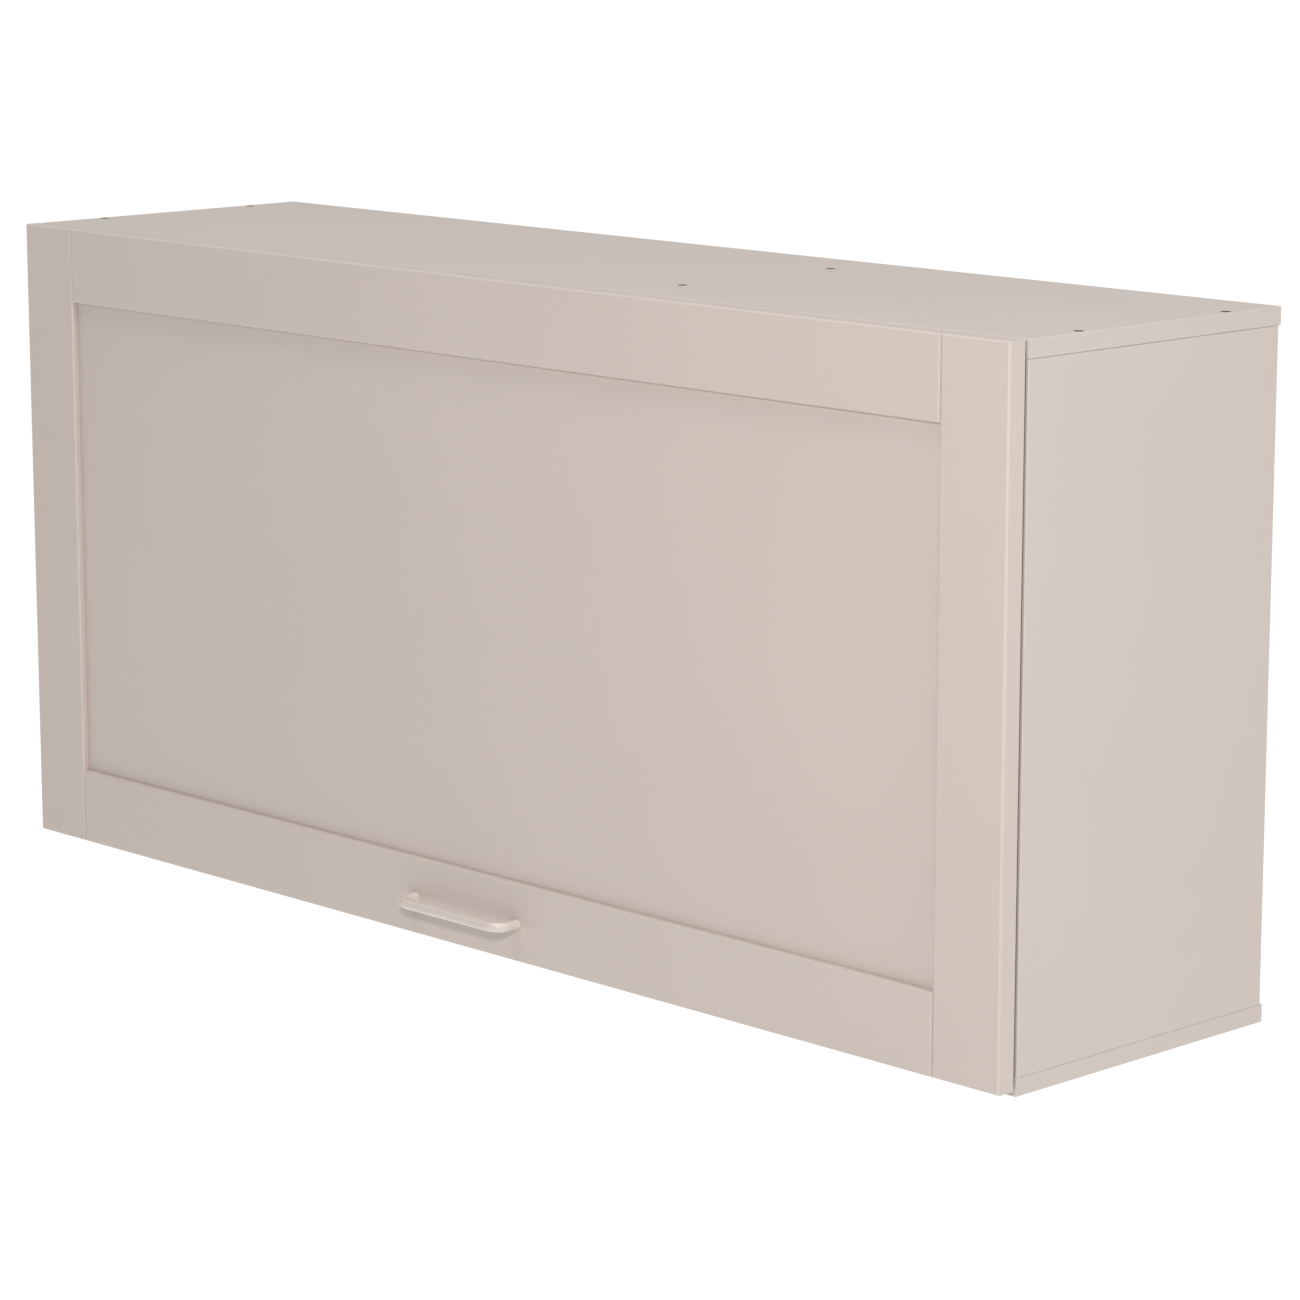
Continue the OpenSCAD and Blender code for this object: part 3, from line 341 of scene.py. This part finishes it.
fastenerZinc = platedSteel("barrelPlatedZinc", zincPlate)
hingeNickel = platedSteel("brightNickelPlate", nickelPlate)
rodChrome = platedSteel("groundHardChrome", hardChrome)

# Enamel baked on the die-cast handle: the fronts' colour, glossy, with a soft orange peel
handleEnamel = {
    "colour": "#C3B8B0", "shade": "#C0B5AD", "peelMm": 4, "peelDepthMm": 0.006, "roughness": 0.16,
    "ior": 1.5, "coat": 0.4, "coatRoughness": 0.06,
}
# Black powder coat on the struts' tubes: half gloss, with the fine pebble of cured powder
tubePowder = {
    "colour": "#2B2B2D", "shade": "#242426", "peelMm": 1.4, "peelDepthMm": 0.02, "roughness": 0.34,
    "ior": 1.5, "coat": 0.0, "coatRoughness": 0.1,
}
# Glass-filled nylon, moulded in a spark-eroded tool: dull black with an even, fine roughness
mouldedNylon = {
    "colour": "#1F1F20", "shade": "#19191A", "peelMm": 0.7, "peelDepthMm": 0.025, "roughness": 0.5,
    "ior": 1.53, "coat": 0.0, "coatRoughness": 0.1,
}


def coatedSurface(name, look):
    material, tree, shader, coordinates = newMaterial(name, {
        "IOR": look["ior"], "Roughness": look["roughness"], "Coat Weight": look["coat"],
        "Coat Roughness": look["coatRoughness"],
    })
    peel = addNode(
        tree, "ShaderNodeTexNoise", {"Scale": perMetre(look["peelMm"]), "Detail": 2.0},
        {"Vector": coordinates["Object"]},
    )
    colour = addNode(
        tree, "ShaderNodeMix",
        {firstColour: linearColour(look["shade"]), secondColour: linearColour(look["colour"])},
        {mixShare: peel.outputs["Fac"]}, data_type="RGBA",
    )
    relief = addNode(
        tree, "ShaderNodeBump", {"Distance": metres(look["peelDepthMm"])}, {"Height": peel.outputs["Fac"]}
    )
    tree.links.new(colour.outputs[mixedColour], shader.inputs["Base Color"])
    tree.links.new(relief.outputs["Normal"], shader.inputs["Normal"])
    return material


handleCoat = coatedSurface("bakedEnamel", handleEnamel)
tubeCoat = coatedSurface("powderCoatedTube", tubePowder)
blackNylon = coatedSurface("sparkTexturedNylon", mouldedNylon)

# Soft clear PVC, cast in drops: a milky disc that takes some of the colour of what lies under it
bumperVinyl = {
    "colour": "#E9E6DD", "shade": "#DEDAD0", "cloudMm": 2, "roughness": 0.22, "ior": 1.53,
    "clearness": 0.55,
}


def castVinyl(name, look):
    material, tree, shader, coordinates = newMaterial(name, {
        "IOR": look["ior"], "Roughness": look["roughness"], "Transmission Weight": look["clearness"],
    })
    cloud = addNode(
        tree, "ShaderNodeTexNoise", {"Scale": perMetre(look["cloudMm"])}, {"Vector": coordinates["Object"]}
    )
    colour = addNode(
        tree, "ShaderNodeMix",
        {firstColour: linearColour(look["shade"]), secondColour: linearColour(look["colour"])},
        {mixShare: cloud.outputs["Fac"]}, data_type="RGBA",
    )
    tree.links.new(colour.outputs[mixedColour], shader.inputs["Base Color"])
    return material


clearVinyl = castVinyl("castClearVinyl", bumperVinyl)

finishes = {
    "carcase_board": lyingMelamine, "inside_board": lyingMelamine, "flap_front": flapFoil,
    "back_sheet": backHardboard, "beech": dowelBeech, "plated_steel": fastenerZinc,
    "hinge_steel": hingeNickel, "soft_plastic": clearVinyl, "tube_paint": tubeCoat,
    "rod_chrome": rodChrome, "black_plastic": blackNylon, "handle_enamel": handleCoat,
}
turnedBoards = {
    "left_side_panel": uprightMelamine, "right_side_panel": uprightMelamine, "partition": uprightMelamine,
    "left_batten": battenMelamine, "right_batten": battenMelamine,
}
for row in frame["record"]["subparts"]:
    node = nodes[row["node"]]
    node.data.materials.clear()
    node.data.materials.append(turnedBoards.get(row["node"], finishes[row["material_slot"]]))
print("finishes assigned")


def solidsOf(nodeName):
    # the corners of each separate solid in a node
    weldReach = 1e-6
    shape = bmesh.new()
    shape.from_mesh(nodes[nodeName].data)
    bmesh.ops.remove_doubles(shape, verts=shape.verts, dist=weldReach)
    solids = []
    for start in shape.verts:
        if not start.tag:
            start.tag = True
            found = [start]
            for corner in found:  # the list grows as neighbours are found
                for other in (edge.other_vert(corner) for edge in corner.link_edges):
                    if not other.tag:
                        other.tag = True
                        found.append(other)
            solids.append([corner.co.copy() for corner in found])
    shape.free()
    return solids


def turnProfile(shape, profile, place, steps):
    # turns a profile of (radius, height) points round Z; it starts and ends on the axis
    rings = []
    for radius, height in profile:
        angles = [math.tau * i / steps for i in range(steps)] if radius else [0]
        rings.append([
            shape.verts.new(place @ Vector((radius * math.cos(a), radius * math.sin(a), height)))
            for a in angles
        ])
    for low, high in zip(rings, rings[1:]):
        for i in range(steps):
            j = (i + 1) % steps
            corners = [low[i % len(low)], low[j % len(low)], high[j % len(high)], high[i % len(high)]]
            shape.faces.new(list(dict.fromkeys(corners)))  # on the axis two corners are one


def addPiece(name, shape, material, body):
    # a mesh piece that keeps its sharp edges and rides on a body
    sharpDegrees = 35
    for face in shape.faces:
        face.smooth = True
    for edge in shape.edges:
        edge.smooth = edge.is_manifold and edge.calc_face_angle() < math.radians(sharpDegrees)
    mesh = bpy.data.meshes.new(name)
    shape.to_mesh(mesh)
    shape.free()
    mesh.materials.append(material)
    piece = bpy.data.objects.new(name, mesh)
    bpy.context.scene.collection.objects.link(piece)
    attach(piece, body)
    return piece


# The hinges', the struts' and the handle's screws have rounded heads with a cross recess. They stand
# where the plain solids stand, with the same heads and shanks.
crossHead = {
    "domeShare": 0.55,  # the part of the head's height that its dome takes
    "domeDegrees": (0, 20, 40, 60, 75), "domeFullness": 0.6,  # an exponent of 1 would make an ellipse
    "slotMm": 1.0, "depthMm": 1.25, "reachShare": 0.62,  # how far the cross reaches across the head
    "footReach": 0.45, "footWidth": 0.6,  # the shares of its reach and width that it has at its foot
    "turnDegrees": 37,  # how far each screw is turned on from the last one
    "steps": 40,
}


def crossRecess(shape, place, reach, topZ):
    # a cross that narrows towards its foot, and overruns the head's top
    half = metres(crossHead["slotMm"]) / 2
    depth = metres(crossHead["depthMm"])
    overrun = depth / 2
    growth = 1 + (1 - crossHead["footReach"]) * overrun / depth
    quarter = [(reach, -half), (reach, half), (half, half)]
    rings = []
    for height, reachScale, widthScale in (
        (topZ - depth, crossHead["footReach"], crossHead["footWidth"]),
        (topZ + overrun, growth, growth),
    ):
        ring = []
        for turn in range(4):
            spin = Matrix.Rotation(math.radians(90 * turn), 4, "Z")
            for x, y in quarter:
                corner = Vector((x * reachScale, y * widthScale, height))
                ring.append(shape.verts.new(place @ spin @ corner))
        rings.append(ring)
    foot, mouth = rings
    count = len(foot)
    for i in range(count):
        j = (i + 1) % count
        shape.faces.new([foot[i], foot[j], mouth[j], mouth[i]])
    shape.faces.new(foot[::-1])
    shape.faces.new(mouth)


def measureScrew(corners):
    # where a plain screw's head is seated and looks, and the radius and length of its head and shank
    endReach = 1e-5
    low = Vector(min(c[k] for c in corners) for k in range(3))
    high = Vector(max(c[k] for c in corners) for k in range(3))
    axis = max(range(3), key=lambda k: high[k] - low[k])
    middle = (low + high) / 2
    across = [k for k in range(3) if k != axis]
    spots = [(c[axis], math.hypot(*(c[k] - middle[k] for k in across))) for c in corners]
    radii = {
        end: max(radius for along, radius in spots if abs(along - end) < endReach)
        for end in (low[axis], high[axis])
    }
    top, tip = sorted(radii, key=radii.get, reverse=True)
    headRadius = radii[top]
    shankRadius = radii[tip]
    rimRadius = (headRadius + shankRadius) / 2  # what lies farther out than this is the head's
    headHeight = max(abs(along - top) for along, radius in spots if radius > rimRadius)
    outward = Vector((0, 0, 0))
    outward[axis] = 1 if top > tip else -1
    seat = middle.copy()
    seat[axis] = top - outward[axis] * headHeight
    place = Matrix.Translation(seat) @ outward.to_track_quat("Z", "Y").to_matrix().to_4x4()
    return place, headRadius, headHeight, shankRadius, abs(top - tip) - headHeight


def crossHeadScrews(name, nodeName, body):
    screws = bmesh.new()
    recesses = bmesh.new()
    for index, corners in enumerate(solidsOf(nodeName)):
        place, headRadius, headHeight, shankRadius, shankLength = measureScrew(corners)
        place = place @ Matrix.Rotation(math.radians(crossHead["turnDegrees"] * index), 4, "Z")
        dome = headHeight * crossHead["domeShare"]
        profile = [(0, -shankLength), (shankRadius, -shankLength), (shankRadius, 0), (headRadius, 0)]
        for degrees in crossHead["domeDegrees"]:
            rise = math.radians(degrees)
            radius = headRadius * math.cos(rise) ** crossHead["domeFullness"]
            profile.append((radius, headHeight - dome + dome * math.sin(rise)))
        profile.append((0, headHeight))
        turnProfile(screws, profile, place, crossHead["steps"])
        crossRecess(recesses, place, headRadius * crossHead["reachShare"], headHeight)
    helpers = []
    for helperName, shape in (("heads", screws), ("recesses", recesses)):
        bmesh.ops.recalc_face_normals(shape, faces=shape.faces)
        mesh = bpy.data.meshes.new(helperName)
        shape.to_mesh(mesh)
        shape.free()
        helper = bpy.data.objects.new(helperName, mesh)
        bpy.context.scene.collection.objects.link(helper)
        helpers.append(helper)
    heads, cutter = helpers
    cut = heads.modifiers.new("recess", "BOOLEAN")
    cut.object = cutter
    cut.operation = "DIFFERENCE"
    cut.solver = "EXACT"
    shape = bmesh.new()
    shape.from_object(heads, bpy.context.evaluated_depsgraph_get())
    for helper in helpers:
        bpy.data.objects.remove(helper)
    piece = addPiece(name, shape, fastenerZinc, body)
    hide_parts(nodeName)


for name, nodeName, body in (
    ("hingePlateScrews", "hinge_plate_screws", "carcase"),
    ("hingeArmScrews", "hinge_arm_screws", "carcase"),
    ("strutAnchorScrews", "strut_anchor_screws", "carcase"),
    ("strutBracketScrews", "strut_bracket_screws", "flap"),
    ("handleScrews", "handle_screws", "flap"),
):
    crossHeadScrews(name, nodeName, body)
print("cross-head screws made")

studio = {
    "hangingHeight": 1.45,  # the metres from the floor to the cabinet's underside
    "floorSize": 160, "floor": "#FAFAF9", "floorRoughness": 0.9,
    "world": "#FFFFFF", "worldStrength": 0.275, "backdropStrength": 1.0,
}
# Matt white paper, rolled out: pale, without gloss
floorPaper = newMaterial(
    "mattPaperFloor", {"Base Color": linearColour(studio["floor"]), "Roughness": studio["floorRoughness"]}
)[0]
bpy.ops.mesh.primitive_plane_add(size=studio["floorSize"], location=(0, 0, -studio["hangingHeight"]))
floor = bpy.context.object
floor.name = "paleFloor"
floor.data.materials.append(floorPaper)

# The room gives a dim, even light, and shows as white behind the floor
world = bpy.data.worlds.new("softStudio")
world.use_nodes = True
roomLight = world.node_tree.nodes["Background"]
roomLight.inputs["Color"].default_value = linearColour(studio["world"])
seen = addNode(world.node_tree, "ShaderNodeLightPath").outputs["Is Camera Ray"]
strength = addNode(
    world.node_tree, "ShaderNodeMapRange",
    {"To Min": studio["worldStrength"], "To Max": studio["backdropStrength"]}, {"Value": seen},
)
world.node_tree.links.new(strength.outputs[0], roomLight.inputs["Strength"])
bpy.context.scene.world = world
bpy.context.scene.view_settings.view_transform = "Standard"

# Soft boxes: where each stands, what it looks at, its size in metres and its power in watts
softBoxes = {
    "keySoftBox": ((1.63, -2.0, 1.2), (0.2, -0.3, 0.3), 0.25, 26.8),
    "sideSoftBox": ((5.56, -0.86, 2.93), (0.2, -0.3, 0.3), 0.6, 79.8),
}
for name, (place, target, size, power) in softBoxes.items():
    light = bpy.data.lights.new(name, "AREA")
    light.size = size
    light.energy = power
    lamp = bpy.data.objects.new(name, light)
    lamp.location = place
    lamp.rotation_euler = (Vector(target) - Vector(place)).to_track_quat("-Z", "Y").to_euler()
    bpy.context.scene.collection.objects.link(lamp)

# A wide, soft sun straight above evens out the floor and the top
overhead = {"strength": 2.64, "degreesWide": 60}
sun = bpy.data.lights.new("overheadLight", "SUN")
sun.energy = overhead["strength"]
sun.angle = math.radians(overhead["degreesWide"])
bpy.context.scene.collection.objects.link(bpy.data.objects.new("overheadLight", sun))

# Fitted to the photograph: place in metres, degrees left of +Y and below level, lens and sensor in mm
photoCamera = {
    "place": (2.70801, -2.72053, 0.97644), "yaw": 45.942, "pitch": 11.1763,
    "lens": 122.215, "sensor": 36, "farthestMetres": 200,
}
yaw = math.radians(photoCamera["yaw"])
pitch = math.radians(photoCamera["pitch"])
camera = bpy.data.objects.new("photoCamera", bpy.data.cameras.new("photoCamera"))
camera.data.sensor_width = photoCamera["sensor"]
camera.data.lens = photoCamera["lens"]
camera.data.clip_end = photoCamera["farthestMetres"]
camera.location = photoCamera["place"]
forward = Vector((-math.sin(yaw) * math.cos(pitch), math.cos(yaw) * math.cos(pitch), -math.sin(pitch)))
camera.rotation_euler = forward.to_track_quat("-Z", "Y").to_euler()
bpy.context.scene.collection.objects.link(camera)
bpy.context.scene.camera = camera
print("studio and camera made")
